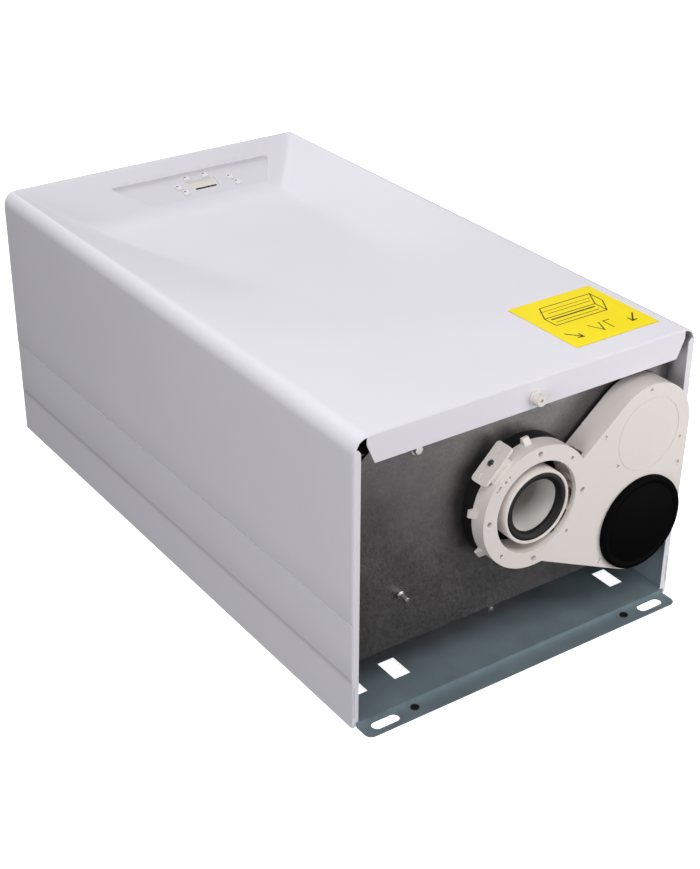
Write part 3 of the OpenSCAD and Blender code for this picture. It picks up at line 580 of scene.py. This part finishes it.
for name, (x, w) in SPOTS.items():
    key = slope_prism("cap_" + name, rect(x, w, BUTTON, BUTTON, r=1.1), FACE - 2.2, FACE + 0.8,
                      MAT["button_white"])
    bevel(key, 0.5, 3, 40)
    flange = slope_prism("flange", rect(x, w, BUTTON_FLANGE, BUTTON_FLANGE, r=1.3), FACE - 3.4,
                         FACE - 2.7, MAT["button_white"])
    stem = slope_prism("stem", rect(x, w, 3.4, 3.4, r=1.6), FACE - 5.5, FACE - 2.0,
                       MAT["button_white"])
    whole = join([key, flange, stem], "button_" + name + "_moulding")
    piece(whole, "key_" + name, "button_white", "button_" + name)
    mark = slope_prism("mark_" + name, rect(x - 1.4, w - 1.6, 3.0, 1.5, r=0.6), FACE + 0.75,
                       FACE + 0.86, MARK)
    piece(mark, "key_" + name, "display_dark")

slit = slope_prism("display_slit", rect(40, 60.9, 30, 2.4, r=0.8), FACE - 1.25, FACE - 1.05,
                   MAT["display_dark"])
piece(slit, "appliance", "display_dark")

# ---------------------------------------------------------------- label
LABEL_X, LABEL_Y = (75, 185), (28, 134)


def flat(corners, z):
    """Points in x and y, at one height."""
    return [P(x, y, z) for x, y in corners]


corners = [(LABEL_X[0], LABEL_Y[0]), (LABEL_X[1], LABEL_Y[0]), (LABEL_X[1], LABEL_Y[1]),
           (LABEL_X[0], LABEL_Y[1])]
label = prism("label_sheet", flat(corners, BODY_D + 0.02), flat(corners, BODY_D + 0.22),
              MAT["label_yellow"], sharp=30)
piece(label, "casing", "label_yellow", "instruction_label")


def ink_line(points, width, z=BODY_D + 0.24):
    """A flat drawn line on the label as a strip with thickness."""
    obs = []
    for (x0, y0), (x1, y1) in zip(points, points[1:]):
        dx, dy = x1 - x0, y1 - y0
        n = math.hypot(dx, dy)
        ox, oy = -dy / n * width / 2, dx / n * width / 2
        ex, ey = dx / n * width / 2, dy / n * width / 2
        quad = [(x0 + ox - ex, y0 + oy - ey), (x1 + ox + ex, y1 + oy + ey),
                (x1 - ox + ex, y1 - oy + ey), (x0 - ox - ex, y0 - oy - ey)]
        obs.append(prism("ink", flat(quad, z - 0.06), flat(quad, z), INK, sharp=0))
    return obs


# A box in outline, an arrow at each side and two plain signs, each as its points and line width
LABEL_LINES = [
    ([(92, 96), (160, 96), (172, 118), (104, 118), (92, 96)], 1.3),
    ([(92, 96), (92, 78), (160, 78), (160, 96)], 1.3),
    ([(160, 78), (172, 98), (172, 118)], 1.3),
    ([(104, 104), (160, 104)], 1.0),
    ([(98, 110), (166, 110)], 0.8),
    ([(98, 91), (154, 91)], 2.4),
    ([(98, 84), (154, 84)], 1.0),
    ([(86, 58), (98, 44)], 1.8),
    ([(98, 44), (98, 51)], 1.8),
    ([(98, 44), (92, 45)], 1.8),
    ([(176, 58), (164, 44)], 1.8),
    ([(164, 44), (164, 51)], 1.8),
    ([(164, 44), (170, 45)], 1.8),
    ([(118, 60), (126, 44), (132, 60)], 1.4),
    ([(138, 44), (138, 60), (146, 60)], 1.4),
]
marks = []
for points, width in LABEL_LINES:
    marks += ink_line(points, width)
piece(join(marks, "label_marks"), "casing", "display_dark")

# ---------------------------------------------------------------- flue parts
ROUNDING = {"flue_manifold": 0.9, "chamber_top_panel": 0.35, "rear_frame": 0.3, "screws": 0.35,
            "panel_pin": 0.5, "casing_peg": 0.7, "chamber_cover": 0.3, "bottom_bracket": 0.3,
            "electronics_box": 1.5, "gas_valve": 1.5, "control_housing": 0.5}
for node, width in ROUNDING.items():
    softened(node, width)

seal = lathe("seal_lips", [(-12.4, 36.7), (-12.8, 36.0), (-12.9, 33.4), (-12.2, 31.0), (-10.6, 29.2),
                           (-9.0, 28.5), (-7.4, 28.7), (-6.0, 29.6), (-4.6, 30.4), (-4.5, 36.7)],
             0, FLUE_Z, MAT["seal_rubber"])
piece(seal, "appliance", "seal_rubber", "flue_seal")
socket = lathe("socket_ring", [(-12.6, 40.25), (-13.3, 39.7), (-13.5, 38.6), (-13.3, 37.4),
                               (-12.6, 36.85), (60, 36.8), (60, 40.3), (2, 40.3)],
               0, FLUE_Z, MAT["white_plastic"])
piece(socket, "appliance", "white_plastic", "flue_socket")
duct = lathe("duct_steps", [(-4.5, 36.7), (-4.5, 34.4), (6, 34.2), (7, 33.7), (24, 33.7), (25, 33.4),
                            (27, 33.4), (28, 33.7), (48, 33.7), (49, 33.3), (51, 33.3), (52, 33.7),
                            (176, 33.6), (176, 36.7)], 0, FLUE_Z, MAT["duct_plastic"])
piece(duct, "appliance", "duct_plastic", "flue_duct")


TEST_X, TEST_Y, TEST_R = 6.5, 2.0, 72.0


def test_point(across, along, out):
    """A point on the test cover's seat: along it, along the flue, and away from the flue."""
    a = math.radians(45)
    return P((across - out) * math.cos(a), TEST_Y + along, FLUE_Z + (across + out) * math.sin(a))


def test_prism(name, loop, out0, out1, mat=None):
    """An outline on the test cover's seat, raised between two heights."""
    low, high = ([test_point(TEST_X + x, y, TEST_R + h) for x, y in loop] for h in (out0, out1))
    return prism(name, low, high, mat)


def arc(cx, cy, r, start, end, steps):
    """Points of an arc between two angles in radians."""
    return [(cx + r * math.cos(t), cy + r * math.sin(t)) for t in np.linspace(start, end, steps)]


cover = test_prism("test_cover", rect(0, 0, 46, 22, r=4, steps=8), 0, 3, MAT["white_plastic"])
for dimple_x in (-15, 15):
    outline = arc(dimple_x, -1, 4.2, 0.2, 2.9, 10) + arc(dimple_x, -1, 3.0, 2.9, 0.2, 10)
    boolean(cover, test_prism("dimple", outline, 2.2, 4))
boolean(cover, test_prism("screw_hole", rect(0, 0, 3.8, 3.8, r=1.85, steps=6), -1, 5))
bevel(cover, 0.6, 3, 40)
piece(cover, "appliance", "white_plastic", "test_point_cover")
# A flat dark cross laid over the screw hole: painted shade standing in for the shaded cross recess of the
# screw head.
cross = []
for w, h in ((4.2, 0.9), (0.9, 4.2)):
    cross.append(test_prism("cross", rect(0, 0, w, h, r=0.2), 4.45, 4.72, MAT["display_dark"]))
piece(join(cross, "test_screw_recess_painted_shade"), "appliance", "display_dark")

GROMMET_X, GROMMET_Y, GROMMET_R = 139.5, -9, 4.6
for s in (-1, 1):
    circle = arc(s * GROMMET_X, GROMMET_Y, GROMMET_R, 0, 2 * math.pi, 25)[:-1]
    grommet = prism("flange_grommet_%d" % s, flat(circle, 1.25), flat(circle, 2.4), MAT["seal_rubber"])
    piece(bevel(grommet, 0.4), "appliance", "seal_rubber")

CAP_CENTRE = (142.0, 121.6)
plug = lathe("intake_plug", [(-13, 0.2), (-18.2, 0.2), (-18.2, 43.5), (-17.9, 44.3), (-17.9, 46.2),
                             (-18.5, 47), (-18.5, 51.8), (-17.8, 53.0), (-16.4, 53.4), (-13.1, 53.4),
                             (-13.1, 47), (-9.6, 47), (-9.6, 0.2)], *CAP_CENTRE, MAT["black_plastic"])
piece(plug, "appliance", "black_plastic", "air_intake_cap")

# ---------------------------------------------------------------- stage, light and camera
floor_me = bpy.data.meshes.new("floor")
FLOOR_HALF, FLOOR_Z = 14, -0.0006
floor_me.from_pydata([(x * FLOOR_HALF, y * FLOOR_HALF, FLOOR_Z)
                      for x, y in ((-1, -1), (1, -1), (1, 1), (-1, 1))], [], [(0, 1, 2, 3)])
floor_mat, nt, bsdf, coord = nodes_of("studio_floor")
bsdf.inputs["Base Color"].default_value = (0.9, 0.9, 0.9, 1)
bsdf.inputs["Roughness"].default_value = 0.9
bsdf.inputs["Emission Color"].default_value = (1, 1, 1, 1)
bsdf.inputs["Emission Strength"].default_value = 0.9
floor = link("floor", floor_me, floor_mat)
floor.visible_diffuse = False
floor.visible_glossy = False

world = bpy.data.worlds.new("studio")
SCENE.world = world
world.use_nodes = True
world.node_tree.nodes["Background"].inputs["Color"].default_value = (0.97, 0.97, 1.0, 1)
world.node_tree.nodes["Background"].inputs["Strength"].default_value = 0.10


def softbox(name, at, to, size, power, color=(1, 1, 1)):
    """A rectangular light, aimed at a point."""
    data = bpy.data.lights.new(name, "AREA")
    data.shape, data.size, data.size_y = "RECTANGLE", size[0], size[1]
    data.energy, data.color = power, color
    ob = bpy.data.objects.new(name, data)
    SCENE.collection.objects.link(ob)
    ob.location = at
    ob.rotation_euler = (Vector(to) - Vector(at)).to_track_quat("-Z", "Y").to_euler()


softbox("over_back", (0, 3.5, 3.6), (0, 0, 0.2), (4.3, 2.2), 172)
softbox("over_front", (-0.3, -1.6, 2.2), (0, -0.2, 0.2), (1.6, 1.0), 28)
softbox("left", (-2.2, -1.1, 0.7), (0, -0.1, 0.1), (1.4, 1.2), 24)
softbox("card", (0.55, -1.15, 0.05), (0.05, -0.37, 0.25), (0.8, 0.5), 4.6)
softbox("front_right", (1.2, -1.8, 1.1), (0.1, -0.3, 0.2), (0.9, 0.9), 11.0, (1.0, 0.965, 0.94))

# The camera looks from the flue end, 35 degrees to the left of it and 29 degrees up
AZ, EL, ROLL = math.radians(-34.69), math.radians(28.94), math.radians(0.28)
CAMERA_AT = (-0.93166, -1.39623, 1.02395)
right = Vector((math.cos(AZ), math.sin(AZ), 0))
back = Vector((math.sin(AZ) * math.cos(EL), -math.cos(AZ) * math.cos(EL), math.sin(EL)))
up = back.cross(right)
turn_r = math.cos(ROLL) * right + math.sin(ROLL) * up
turn_u = -math.sin(ROLL) * right + math.cos(ROLL) * up
cam_data = bpy.data.cameras.new("camera")
cam_data.sensor_width, cam_data.lens = 36, 68.09
cam_data.shift_x, cam_data.shift_y = 0.0069, -0.0025
cam = bpy.data.objects.new("camera", cam_data)
SCENE.collection.objects.link(cam)
cam.matrix_world = Matrix.Translation(CAMERA_AT) @ Matrix((
    (turn_r.x, turn_u.x, back.x, 0), (turn_r.y, turn_u.y, back.y, 0),
    (turn_r.z, turn_u.z, back.z, 0), (0, 0, 0, 1)))
SCENE.camera = cam
SCENE.view_settings.view_transform = "Standard"
